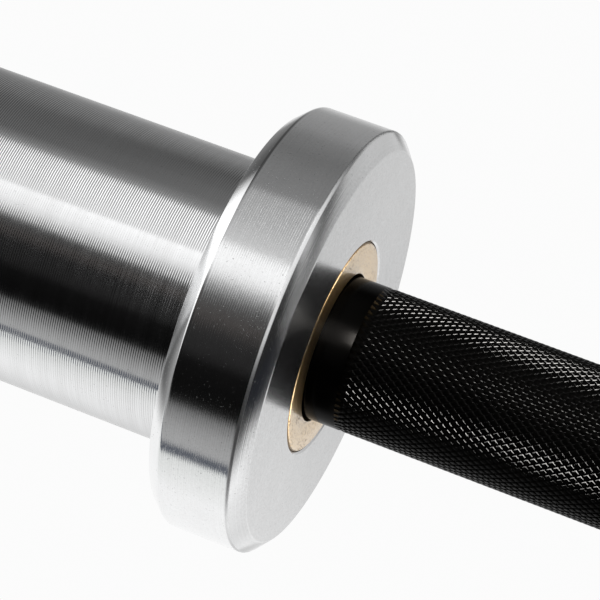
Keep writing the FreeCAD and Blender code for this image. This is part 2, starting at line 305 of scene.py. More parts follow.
@dataclass(frozen=True)
class Knurl:
    """The diamond knurl: two families of helical grooves that leave rows of domed diamonds with cut tips."""

    starts: int = 63
    pitch: float = 1.946
    crest_radius: float = 12.5
    depth: float = 0.27
    flank: float = 0.21
    dome: float = 0.05
    tip_cut: float = 0.12
    core_radius: float = 11.6
    land_radius: float = 12.48
    run_out: float = 0.45
    crease: float = 180.0

    # How a diamond's parts are told apart: by height, in millimetres or as a share of the depth, and by slope.
    crest_slack: float = 0.05
    flank_slack: float = 0.03
    top_share: float = 0.75
    tip_lean: float = 0.3
    tip_twist: float = 0.15

    @property
    def edge_radius(self) -> float:
        """The radius of the diamonds' edges, below their domes."""
        return self.crest_radius - self.dome

    @property
    def root_radius(self) -> float:
        """The radius of the grooves' floor."""
        return self.edge_radius - self.depth

    @property
    def top_radius(self) -> float:
        """The radius above which a face belongs to a diamond's top."""
        return self.root_radius + self.depth * self.top_share

    def plain(self) -> "Knurl":
        """The same knurl with flat, uncut diamonds, for stretches that are too long for the full one."""
        return replace(self, dome=0.0, tip_cut=0.0)

    def cell(self, middle: float, pitch: float) -> Piece:
        """Models one diamond and its twin half a step on, with their raised faces.

        Args:
            middle: The first diamond's place along the bar, in millimetres.
            pitch: The length of a diamond along the bar.

        Returns:
            The pair, in edit mode.
        """
        half_angle = math.pi / self.starts
        half_pitch = pitch / 2 * MM
        root = self.root_radius * MM
        Bench.clear()
        bpy.ops.mesh.primitive_circle_add(vertices=4, radius=1, fill_type="NGON")
        cell = bpy.context.object
        cell.scale = (half_pitch, root * math.sin(half_angle), 1)
        cell.location = (middle * MM, 0, root)
        bpy.ops.object.transform_apply()
        Bench.open(cell)
        Bench.pick(cell, Element.VERTEX, lambda vertex: abs(vertex.co.y) > half_pitch / 4)
        bpy.ops.transform.translate(value=(0, 0, root * (math.cos(half_angle) - 1)))
        bpy.ops.mesh.select_all(action="SELECT")
        bpy.ops.mesh.duplicate_move(TRANSFORM_OT_translate={"value": (half_pitch, 0, 0)})
        bpy.ops.transform.rotate(value=half_angle, orient_axis="X", center_override=(0, 0, 0))
        Bench.weld()
        bpy.ops.mesh.normals_make_consistent(inside=False)
        Bench.pick(cell, Element.FACE, lambda face: True)
        bpy.ops.mesh.inset(thickness=self.flank * MM, depth=self.depth * MM, use_individual=True)
        if self.tip_cut:
            self.cut_tips(cell, half_pitch)
        if self.dome:
            Bench.pick(cell, Element.FACE, lambda face: self.is_top(face, ()))
            bpy.ops.mesh.poke(offset=self.dome * MM)
        Bench.pick(cell, Element.EDGE, self.is_ridge)
        bpy.ops.mesh.mark_sharp()
        return cell

    def is_ridge(self, edge: Any) -> bool:
        """Tells a sharp edge from the rounded ones.

        The edges of a diamond and those down its corners are sharp. Groove floors, domes and the step to a cut tip
        are rounded.

        Args:
            edge: The edge.

        Returns:
            Whether the edge stays sharp.
        """
        reaches = [Bench.radius(vertex.co) for vertex in edge.verts]
        high = [reach > (self.root_radius + self.depth / 2) * MM for reach in reaches]
        domed = self.dome > 0 and max(reaches) > (self.edge_radius + self.dome / 2) * MM
        step = all(high) and Bench.is_ring(edge)
        return any(high) and not domed and not step

    def is_top(self, face: Any, ends: tuple[float, ...]) -> bool:
        """Whether a face is a diamond's top, or lies at one of the stretch's ends, in millimetres."""
        at_end = any(abs(vertex.co.x - end * MM) < NEAR for vertex in face.verts for end in ends)
        return at_end or min(Bench.radius(vertex.co) for vertex in face.verts) > self.top_radius * MM

    def is_tip(self, face: Any) -> bool:
        """Whether a face looks along the bar, as a cut tip does."""
        way, middle = face.normal, face.calc_center_median()
        return abs(way.x) > self.tip_lean and abs(way.cross(middle).x) < self.tip_twist * Bench.radius(middle)

    def cut_tips(self, cell: Piece, half_pitch: float) -> None:
        """Cuts the long corners of the raised diamonds back, down to the groove crossings.

        Args:
            cell: The pair of diamonds in edit mode.
            half_pitch: Half the length of a diamond, in metres.
        """
        root, crest = self.root_radius * MM, self.edge_radius * MM
        raised = crest - self.crest_slack * MM
        low_flank, high_flank = root + self.flank_slack * MM, crest - self.flank_slack * MM
        mesh = bmesh.from_edit_mesh(cell.data)
        low = [vertex.co.copy() for vertex in mesh.verts if Bench.radius(vertex.co) < root + NEAR]
        middles = {sum(vertex.co.x for vertex in face.verts) / len(face.verts)
                   for face in mesh.faces if min(Bench.radius(vertex.co) for vertex in face.verts) > raised}
        Bench.pick(cell, Element.VERTEX, lambda vertex: Bench.radius(vertex.co) > raised and
                   min(abs(vertex.co.x - middle) for middle in middles) > half_pitch / 5)
        bpy.ops.mesh.bevel(affect="VERTICES", offset=self.tip_cut * MM, segments=1)
        mesh = bmesh.from_edit_mesh(cell.data)
        between = [vertex.co.copy() for vertex in mesh.verts
                   if low_flank < Bench.radius(vertex.co) < high_flank]
        for point in between:
            crossing = min(low, key=lambda corner: (corner - point).length)
            Bench.pick(cell, Element.VERTEX, lambda vertex: (vertex.co - point).length < SAME)
            bpy.ops.transform.translate(value=crossing - point)
        Bench.weld()

    def zone(self, name: str, low: float, high: float) -> Piece:
        """Rolls a stretch of knurl as a closed sleeve over the shaft's core.

        Args:
            name: The piece's name.
            low: Where the stretch starts along the bar, in millimetres.
            high: Where it ends.

        Returns:
            The piece in object mode.
        """
        room = high - low - 2 * self.run_out
        count = math.floor(room / self.pitch - 0.5)
        pitch = room / (count + 0.5)
        piece = self.cell(low + self.run_out + pitch / 2, pitch)
        bpy.ops.mesh.select_all(action="SELECT")
        others = self.starts - 1
        bpy.ops.mesh.spin(steps=others, dupli=True, angle=math.tau * others / self.starts, center=(0, 0, 0),
                          axis=(1, 0, 0))
        Bench.weld()
        bpy.ops.object.mode_set(mode="OBJECT")
        Bench.repeat(piece, count, pitch)
        middle = (low + high) / 2 * MM
        for end, sign in ((low, -1), (high, 1)):
            Bench.pick(piece, Element.EDGE,
                       lambda edge: edge.is_boundary and (edge.verts[0].co.x - middle) * sign > 0)
            Bench.draw_on(end, self.land_radius / self.root_radius)
            Bench.draw_on(end, self.core_radius / self.land_radius)
        Bench.pick(piece, Element.EDGE, lambda edge: edge.is_boundary)
        bpy.ops.mesh.bridge_edge_loops()
        return Bench.close(piece, name, self.crease)


class NodeBench:
    """Lays out the nodes of one tree."""

    def __init__(self, tree: bpy.types.NodeTree) -> None:
        """Takes a tree to work on."""
        self.tree = tree

    def add(self, kind: str, inputs: dict[Any, Any] | None = None, **settings: Any) -> bpy.types.Node:
        """Adds a node.

        Args:
            kind: The node's type.
            inputs: A value or a socket for each input, by name or number.
            settings: The node's own properties.

        Returns:
            The node.
        """
        node = self.tree.nodes.new(kind)
        for key, setting in settings.items():
            setattr(node, key, setting)
        for key, given in (inputs or {}).items():
            self.feed(node.inputs[key], given)
        return node

    def feed(self, socket: Socket, given: Any) -> None:
        """Sets a socket to a constant, a colour by its three parts, or links it to another socket.

        Args:
            socket: The socket.
            given: The constant or the other socket.
        """
        if isinstance(given, Socket):
            self.tree.links.new(given, socket)
        else:
            socket.default_value = (*given, 1) if socket.type == "RGBA" else given

    def split(self, vector: Socket) -> Any:
        """The parts of a vector, by their letters."""
        return self.add("ShaderNodeSeparateXYZ", {0: vector}).outputs

    def math(self, operation: str, first: Any, second: Any = 0.0) -> Socket:
        """A sum on one or two numbers."""
        return self.add("ShaderNodeMath", {0: first, 1: second}, operation=operation).outputs[0]

    def plus(self, first: Any, second: Any) -> Socket:
        """Two numbers added."""
        return self.math("ADD", first, second)

    def minus(self, first: Any, second: Any) -> Socket:
        """One number less another."""
        return self.math("SUBTRACT", first, second)

    def times(self, first: Any, second: Any) -> Socket:
        """Two numbers multiplied."""
        return self.math("MULTIPLY", first, second)

    def ramp(self, factor: Any, *stops: tuple[float, Shade]) -> Socket:
        """A colour ramp.

        Args:
            factor: What drives it.
            stops: Positions, each with a grey level or a colour.

        Returns:
            The colour.
        """
        node = self.add("ShaderNodeValToRGB", {0: factor})
        band = node.color_ramp
        while len(band.elements) < len(stops):
            band.elements.new(0.5)
        for element, (position, shade) in zip(band.elements, stops):
            element.position = position
            element.color = (shade, shade, shade, 1) if isinstance(shade, float) else (*shade, 1)
        return node.outputs["Color"]

    def span(self, value: Any, low: float, high: float, first: float = 0.0, last: float = 1.0,
             how: str = "LINEAR") -> Socket:
        """Maps the range from low to high onto the range from first to last, and holds it there."""
        inputs = {"Value": value, "From Min": low, "From Max": high, "To Min": first, "To Max": last}
        return self.add("ShaderNodeMapRange", inputs, interpolation_type=how).outputs["Result"]

    def spread(self, factor: Any, low: float, high: float) -> Socket:
        """Maps a number from 0 to 1 onto a range."""
        return self.span(factor, 0.0, 1.0, low, high)

    def blend(self, factor: Any, first: Any, second: Any) -> Socket:
        """Mixes two colours."""
        return self.add("ShaderNodeMix", {0: factor, 6: first, 7: second}, data_type="RGBA").outputs[2]


class ShaderBench(NodeBench):
    """Lays out one material's nodes."""

    def __init__(self, name: str) -> None:
        """Starts a material with a bare principled shader.

        Args:
            name: The material's name.
        """
        self.material = bpy.data.materials.new(name)
        self.material.use_nodes = True
        super().__init__(self.material.node_tree)
        self.shader = self.tree.nodes["Principled BSDF"]
        self.place = self.add("ShaderNodeTexCoord").outputs["Object"]

    def noise(self, size: float, detail: float = 2.0, place: Any = None, dimensions: str = "3D") -> Socket:
        """A noise whose blotches are about the given number of millimetres wide.

        Args:
            size: The blotches' width.
            detail: How many finer layers are added.
            place: The coordinates, if they aren't the object's own.
            dimensions: The noise's dimensions.

        Returns:
            The noise as a number from 0 to 1.
        """
        inputs = {"Scale": 1 / (size * MM), "Detail": detail, "Vector": place or self.place}
        return self.add("ShaderNodeTexNoise", inputs, noise_dimensions=dimensions).outputs["Fac"]

    def spots(self, factor: Any, limits: Span) -> Socket:
        """Spots that come up where a number rises through the limits."""
        return self.ramp(factor, (0.0, 0.0), (limits[0], 0.0), (limits[1], 1.0))

    def band(self, value: Any, limits: Span, first: float = 0.0, last: float = 1.0) -> Socket:
        """Maps a range in millimetres onto the range from first to last, and holds it there."""
        return self.span(value, limits[0] * MM, limits[1] * MM, first, last)

    def rings(self) -> Socket:
        """Makes coordinates that are the same all round the bar.

        Returns:
            The place along the bar and the radius.
        """
        parts = self.split(self.place)
        across = self.add("ShaderNodeCombineXYZ", {"Y": parts["Y"], "Z": parts["Z"]}).outputs[0]
        radius = self.add("ShaderNodeVectorMath", {0: across}, operation="LENGTH").outputs["Value"]
        return self.add("ShaderNodeCombineXYZ", {"X": parts["X"], "Y": radius}).outputs[0]

    def wrapped(self, radius: float, share: float) -> Socket:
        """Makes coordinates that follow the surface round the bar, drawn out along the turn.

        Args:
            radius: The radius in millimetres at which the turn is measured.
            share: The turn's length in the pattern, as a share of its real length.

        Returns:
            The place along the bar, the way round it and the radius.
        """
        parts = self.split(self.place)
        turn = self.times(self.math("ARCTAN2", parts["Y"], parts["Z"]), radius * share * MM)
        reach = self.split(self.rings())["Y"]
        return self.add("ShaderNodeCombineXYZ", {"X": parts["X"], "Y": turn, "Z": reach}).outputs[0]

    def bump(self, height: Any, distance: float, strength: float = 1.0, under: Any = None) -> Socket:
        """Turns a height into a normal.

        Args:
            height: The height, from 0 to 1.
            distance: How many millimetres the full height is.
            strength: The share of it that shows.
            under: A normal that this one is laid over.

        Returns:
            The normal.
        """
        inputs = {"Height": height, "Distance": distance * MM, "Strength": strength}
        if under is not None:
            inputs["Normal"] = under
        return self.add("ShaderNodeBump", inputs).outputs["Normal"]

    def surface(self, **sockets: Any) -> Material:
        """Feeds the shader.

        Args:
            sockets: What goes into its sockets, which are named with underscores for spaces.

        Returns:
            The material.
        """
        for name, given in sockets.items():
            self.feed(self.shader.inputs[name.replace("_", " ")], given)
        return self.material

    def metal(self, tone: Socket, grain: Socket, rough: Span, depth: float) -> Material:
        """A bare metal whose grain gives its roughness and its bump, in millimetres."""
        return self.surface(Base_Color=tone, Roughness=self.spread(grain, *rough), Metallic=1.0,
                            Normal=self.bump(grain, depth))


class Finish:
    """A finish whose material is made once and shared by all that wear it."""

    @property
    def name(self) -> str:
        """The material's name: the class's, in small letters with underscores."""
        return re.sub(r"\B(?=[A-Z])", "_", type(self).__name__).lower()

    def mix(self, bench: ShaderBench) -> Material:
        """Lays out the finish's nodes.

        Args:
            bench: The new material's bench.

        Returns:
            The material.
        """
        raise NotImplementedError

    def material(self) -> Material:
        """The finish's material, made when it is first asked for."""
        return bpy.data.materials.get(self.name) or self.mix(ShaderBench(self.name))

    def apply(self, piece: Piece) -> None:
        """Puts the finish on a piece, in place of what it wore."""
        piece.data.materials.clear()
        piece.data.materials.append(self.material())

    def inlay(self, piece: Piece, wanted: Callable[[Any], bool]) -> None:
        """Puts the finish on the faces of a piece that pass a test, beside what the piece wears.

        Args:
            piece: The piece in object mode.
            wanted: The test that each face is put to.
        """
        piece.data.materials.append(self.material())
        Bench.open(piece)
        Bench.pick(piece, Element.FACE, wanted)
        piece.active_material_index = len(piece.data.materials) - 1
        bpy.ops.object.material_slot_assign()
        Bench.clear()


@dataclass(frozen=True)
class GroovedPlating(Finish):
    """Bright plating on the grooved sleeves: each groove a little different, with a few specks."""

    shade: Colour = (0.86, 0.865, 0.87)
    dull: Colour = (0.70, 0.70, 0.70)
    head_on: Colour = (0.7, 0.7, 0.7)
    line_size: float = 0.45
    patch_size: float = 9.0
    patch_share: float = 0.4
    wear: float = 0.9
    speck: Colour = (0.3, 0.3, 0.3)
    speck_size: float = 0.35
    speck_limits: Span = (0.70, 0.76)
    speck_share: float = 0.35
    grain_size: float = 0.12
    grain_depth: float = 0.0015
    rough: Span = (0.04, 0.12)

    def mix(self, bench: ShaderBench) -> Material:
        """Lays out the nodes, as the base class says."""
        lines = bench.noise(self.line_size, 1.0, bench.rings(), "2D")
        patches = bench.noise(self.patch_size, 3.0)
        specks = bench.spots(bench.noise(self.speck_size, 1.0), self.speck_limits)
        tone = bench.blend(bench.spread(bench.times(lines, patches), 0.0, self.wear), self.shade, self.dull)
        tone = bench.blend(bench.times(specks, self.speck_share), tone, self.speck)
        rough = bench.spread(bench.plus(lines, bench.times(patches, self.patch_share)), *self.rough)
        return bench.surface(Base_Color=tone, Roughness=rough, Metallic=1.0, Specular_Tint=self.head_on,
                             Normal=bench.bump(bench.noise(self.grain_size), self.grain_depth))


@dataclass(frozen=True)
class TurnedPlating(Finish):
    """Bright plating over fine turning marks.

    The face is satin, the rim is finely scored and pitted, its front edge is worn, and the bevel on the plates' side
    is polished. Bands are millimetres from the collar's face.
    """

    shade: Colour = (0.88, 0.885, 0.89)
    dull: Colour = (0.66, 0.66, 0.66)
    stain: Colour = (0.20, 0.20, 0.20)
    face: float = 655.0
    face_edge: Span = (0.2, 1.2)
    bevel_start: Span = (0.1, 0.3)
    bevel_end: Span = (2.1, 2.4)
    rim_start: Span = (2.2, 2.6)
    polished_start: Span = (14.2, 14.6)
    worn_edge: float = 2.27
    worn_reach: Span = (0.2, 0.34)
    mark_size: float = 0.16
    mark_wear: float = 0.8
    mark_depth: float = 0.003
    mark_share: Span = (0.8, 2.4)
    cloud_size: float = 6.0
    grain_size: float = 0.10
    grain_share: float = 1.1
    pit_size: float = 0.36
    pit_limits: Span = (0.685, 0.735)
    pit_stain: float = 0.4
    pit_depth: float = 0.012
    pit_share: float = 0.6
    score_size: float = 0.3
    score_radius: float = 37.0
    score_share: float = 0.2
    score_depth: float = 0.0055
    speckle_size: float = 0.42
    speckle_limits: Span = (0.35, 0.65)
    speckle_share: float = 2.6
    satin: Span = (0.18, 0.08)
    polish: float = 0.05
    mark_rough: float = 0.06
    worn_rough: float = 0.22
    stretch: float = 0.7
    stretch_turn: float = 0.25

    def mix(self, bench: ShaderBench) -> Material:
        """Lays out the nodes, as the base class says."""
        depth = bench.minus(bench.math("ABSOLUTE", bench.split(bench.place)["X"]), self.face * MM)
        polished = bench.band(depth, self.polished_start)
        bevel = bench.minus(bench.band(depth, self.bevel_start), bench.band(depth, self.bevel_end))
        rim = bench.minus(bench.band(depth, self.rim_start), polished)
        off_edge = bench.math("ABSOLUTE", bench.minus(depth, self.worn_edge * MM))

        marks = bench.noise(self.mark_size, 3.0, bench.rings(), "2D")
        clouds = bench.noise(self.cloud_size, 3.0)
        grain = bench.noise(self.grain_size)
        pits = bench.spots(bench.noise(self.pit_size), self.pit_limits)
        score = bench.noise(self.score_size, 2.0, bench.wrapped(self.score_radius, self.score_share))
        low, high = self.speckle_limits
        speckle = bench.ramp(bench.noise(self.speckle_size, 3.0), (low, 1.0), (high, 0.0))

        satin = bench.minus(bench.band(depth, self.face_edge, *self.satin), bench.times(polished, self.polish))
        tone = bench.blend(bench.spread(bench.times(marks, clouds), 0.0, self.mark_wear), self.shade, self.dull)
        tone = bench.blend(bench.times(pits, self.pit_stain), tone, self.stain)
        tone = bench.blend(bench.times(speckle, bench.times(satin, self.speckle_share)), tone, self.dull)
        rough = bench.plus(satin, bench.times(marks, self.mark_rough))
        rough = bench.plus(rough, bench.band(off_edge, self.worn_reach, self.worn_rough, 0.0))
        scored = bench.times(marks, bench.spread(bevel, *self.mark_share))
        normal = bench.bump(bench.plus(scored, bench.times(grain, self.grain_share)), self.mark_depth)
        normal = bench.bump(bench.times(score, rim), self.score_depth, 1.0, normal)
        normal = bench.bump(bench.minus(1.0, pits), self.pit_depth, self.pit_share, normal)
        tangent = bench.add("ShaderNodeTangent", direction_type="RADIAL", axis="X").outputs[0]
        return bench.surface(Base_Color=tone, Roughness=rough, Metallic=1.0, Normal=normal, Tangent=tangent,
                             Anisotropic=self.stretch, Anisotropic_Rotation=self.stretch_turn)


@dataclass(frozen=True)
class PittedBronze(Finish):
    """Machined oil bronze: pale tan metal with open pores and a turned face, with painted shade darkening the seam
    round it.
    """

    shade: Colour = (0.70, 0.53, 0.29)
    deep: Colour = (0.58, 0.40, 0.18)
    pore: Colour = (0.10, 0.06, 0.03)
    # The dark colour of the real pores, also used for the painted shade in the seam.
    pore_size: float = 0.36
    pore_limits: Span = (0.585, 0.63)
    pore_drift: float = 0.06
    pore_depth: float = 0.03
    pore_share: float = 0.7
    dark_share: float = 0.85
    # Painted shade: across these radii the bushing's outer edge darkens to the pores' colour and loses its coat,
    # standing in for the shade in the seam beside the collar.
    grime: Span = (18.08, 18.18)
    mark_size: float = 0.2
    mark_depth: float = 0.003
    grain_size: float = 0.15
    cloud_size: float = 3.0
    wear: float = 1.1
    rough: Span = (0.28, 0.38)
    sheen_rough: float = 0.12
    sheen_index: float = 3.4

    def mix(self, bench: ShaderBench) -> Material:
        """Lays out the nodes, as the base class says."""
        rings = bench.rings()
        marks = bench.noise(self.mark_size, 2.0, rings, "2D")
        grain = bench.noise(self.grain_size, 3.0)
        clouds = bench.noise(self.cloud_size, 3.0)
        drift = bench.spread(clouds, -self.pore_drift, self.pore_drift)
        pores = bench.spots(bench.plus(bench.noise(self.pore_size), drift), self.pore_limits)
        # The pores and the painted seam shade both darken the tone and take the coat away.
        dark = bench.math("MAXIMUM", pores, bench.band(bench.split(rings)["Y"], self.grime))
        tone = bench.blend(bench.spread(bench.times(grain, clouds), 0.0, self.wear), self.shade, self.deep)
        tone = bench.blend(bench.times(dark, self.dark_share), tone, self.pore)
        normal = bench.bump(bench.plus(marks, grain), self.mark_depth)
        normal = bench.bump(bench.minus(1.0, pores), self.pore_depth, self.pore_share, normal)
        return bench.surface(Base_Color=tone, Roughness=bench.spread(grain, *self.rough), Metallic=1.0,
                             Normal=normal, Coat_Weight=bench.minus(1.0, dark), Coat_Normal=normal,
                             Coat_Roughness=self.sheen_rough, Coat_IOR=self.sheen_index)


@dataclass(frozen=True)
class BlackOxide(Finish):
    """Satin black on the shaft, deep where it is seen square and warm where light grazes it."""

    shade: Colour = (0.00008, 0.00008, 0.00008)
    thin: Colour = (0.0002, 0.00018, 0.00016)
    warm: Colour = (1.0, 0.93, 0.86)
    index: float = 1.1
    gloss: Span = (0.12, 0.22)
    cloud_size: float = 5.0
    cloud_share: float = 0.6
    grain_size: float = 0.18
    grain_share: float = 0.4
    grain_depth: float = 0.002

    def mix(self, bench: ShaderBench) -> Material:
        """Lays out the nodes, as the base class says."""
        clouds = bench.noise(self.cloud_size, 4.0)
        grain = bench.noise(self.grain_size, 3.0)
        uneven = bench.plus(bench.times(clouds, self.cloud_share), bench.times(grain, self.grain_share))
        return bench.surface(Base_Color=bench.blend(clouds, self.shade, self.thin), Metallic=0.0,
                             Roughness=bench.spread(uneven, *self.gloss), Specular_Tint=self.warm,
                             IOR=self.index, Normal=bench.bump(grain, self.grain_depth))


@dataclass(frozen=True)
class KnurledOxide(BlackOxide):
    """The same black in the knurl's grooves, burnished where the rolls have pressed it."""

    warm: Colour = (1.0, 0.97, 0.93)
    index: float = 1.12
    gloss: Span = (0.08, 0.15)


@dataclass(frozen=True)
class CutOxide(KnurledOxide):
    """The same black on the diamonds' cut tips, which are rougher than the rolled flanks."""

    gloss: Span = (0.28, 0.34)


@dataclass(frozen=True)
class RubbedOxide(BlackOxide):
    """The same black on the diamonds' tops, dark head on and bright where light grazes it."""

    warm: Colour = (0.35, 0.325, 0.30)
    index: float = 1.16


@dataclass(frozen=True)
class GroundSteel(Finish):
    """Ground steel of the washers: fine lines all one way."""

    shade: Colour = (0.58, 0.58, 0.58)
    dull: Colour = (0.40, 0.39, 0.38)
    line_size: float = 0.15
    line_stretch: Point = (1.0, 0.06, 1.0)
    line_depth: float = 0.003
    rough: Span = (0.22, 0.40)

    def mix(self, bench: ShaderBench) -> Material:
        """Lays out the nodes, as the base class says."""
        stretched = bench.add("ShaderNodeMapping", {"Vector": bench.place, "Scale": self.line_stretch}).outputs[0]
        lines = bench.noise(self.line_size, 2.0, stretched)
        return bench.metal(bench.blend(lines, self.shade, self.dull), lines, self.rough, self.line_depth)


@dataclass(frozen=True)
class SpringSteel(Finish):
    """Dark phosphated spring steel of the snap rings."""

    shade: Colour = (0.07, 0.066, 0.062)
    rubbed: Colour = (0.24, 0.23, 0.22)
    rubbed_limits: Span = (0.42, 0.75)
    cloud_size: float = 1.6
    grain_size: float = 0.12
    grain_depth: float = 0.004
    rough: Span = (0.32, 0.55)

    def mix(self, bench: ShaderBench) -> Material:
        """Lays out the nodes, as the base class says."""
        low, high = self.rubbed_limits
        clouds = bench.ramp(bench.noise(self.cloud_size, 4.0), (low, 0.0), (high, 1.0))
        grain = bench.noise(self.grain_size, 3.0)
        return bench.metal(bench.blend(clouds, self.shade, self.rubbed), grain, self.rough, self.grain_depth)


@dataclass(frozen=True)
class SatinAluminium(Finish):
    """Satin turned aluminium of the end caps."""

    shade: Colour = (0.78, 0.785, 0.79)
    dull: Colour = (0.60, 0.605, 0.61)
    mark_size: float = 0.22
    mark_depth: float = 0.006
    cloud_size: float = 5.0
    rough: Span = (0.24, 0.42)

    def mix(self, bench: ShaderBench) -> Material:
        """Lays out the nodes, as the base class says."""
        marks = bench.noise(self.mark_size, 3.0, bench.rings(), "2D")
        worn = bench.times(marks, bench.noise(self.cloud_size, 3.0))
        return bench.metal(bench.blend(worn, self.shade, self.dull), marks, self.rough, self.mark_depth)


@dataclass
class Shaft:
    """The black shaft: a smooth core with two knurled stretches at each end."""

    radius: float = 12.48
    journal_radius: float = 11.0
    groove_radius: float = 10.5
    half_grip: float = 655.0
    shoulder: float = 955.75
    groove: Span = (988.9, 990.2)
    end: float = 993.2
    end_bevel: float = 1.0
    knurl_from_collar: float = 5.4
    mark: Span = (455.0, 460.0)
    knurl_stop: float = 242.0
    knurl: Knurl = field(default_factory=Knurl)
    lathe: Lathe = field(default_factory=lambda: Lathe(steps=96))
    finish: Finish = field(default_factory=BlackOxide)
    knurl_finish: Finish = field(default_factory=KnurledOxide)
    tip_finish: Finish = field(default_factory=CutOxide)
    top_finish: Finish = field(default_factory=RubbedOxide)

    def stretches(self) -> dict[Stretch, Span]:
        """Where the knurled stretches of the right half start and end."""
        return {Stretch.INNER: (self.knurl_stop, self.mark[0]),
                Stretch.OUTER: (self.mark[1], self.half_grip - self.knurl_from_collar)}

    def outline(self) -> list[Corner]:
        """Draws the core from end to end, recessed under the knurl.

        Returns:
            The outline's corners.
        """
        recess, journal, groove = self.knurl.core_radius, self.journal_radius, self.groove_radius
        half = []
        for low, high in self.stretches().values():
            half += [(low, self.radius), (low, recess), (high, recess), (high, self.radius)]
        half += [(self.shoulder, self.radius), (self.shoulder, journal), (self.groove[0], journal),
                 (self.groove[0], groove), (self.groove[1], groove), (self.groove[1], journal),
                 (self.end - self.end_bevel, journal), (self.end, journal - self.end_bevel), (self.end, 0.0)]
        return [Corner(-x, r) for x, r in reversed(half)] + [Corner(x, r) for x, r in half]

    def build(self) -> None:
        """Models the core and its knurl and puts them in place of the shaft's node."""
        core = self.lathe.turn("shaft_core", self.outline(), closed=False)
        self.finish.apply(core)
        pieces = [core]
        for stretch, (low, high) in self.stretches().items():
            knurl = self.knurl if stretch is Stretch.OUTER else self.knurl.plain()
            for side, ends in ((Side.LEFT, (-high, -low)), (Side.RIGHT, (low, high))):
                rolled = knurl.zone(f"{side.word}_{stretch.value}_knurl", *ends)
                self.knurl_finish.apply(rolled)
                self.tip_finish.inlay(rolled, knurl.is_tip)
                self.top_finish.inlay(rolled, lambda face: knurl.is_top(face, ends))
                pieces.append(rolled)
        for piece in pieces:
            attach(piece, SHAFT_BODY)
            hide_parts("shaft")
            log.info("%s: %d faces", piece.name, len(piece.data.polygons))


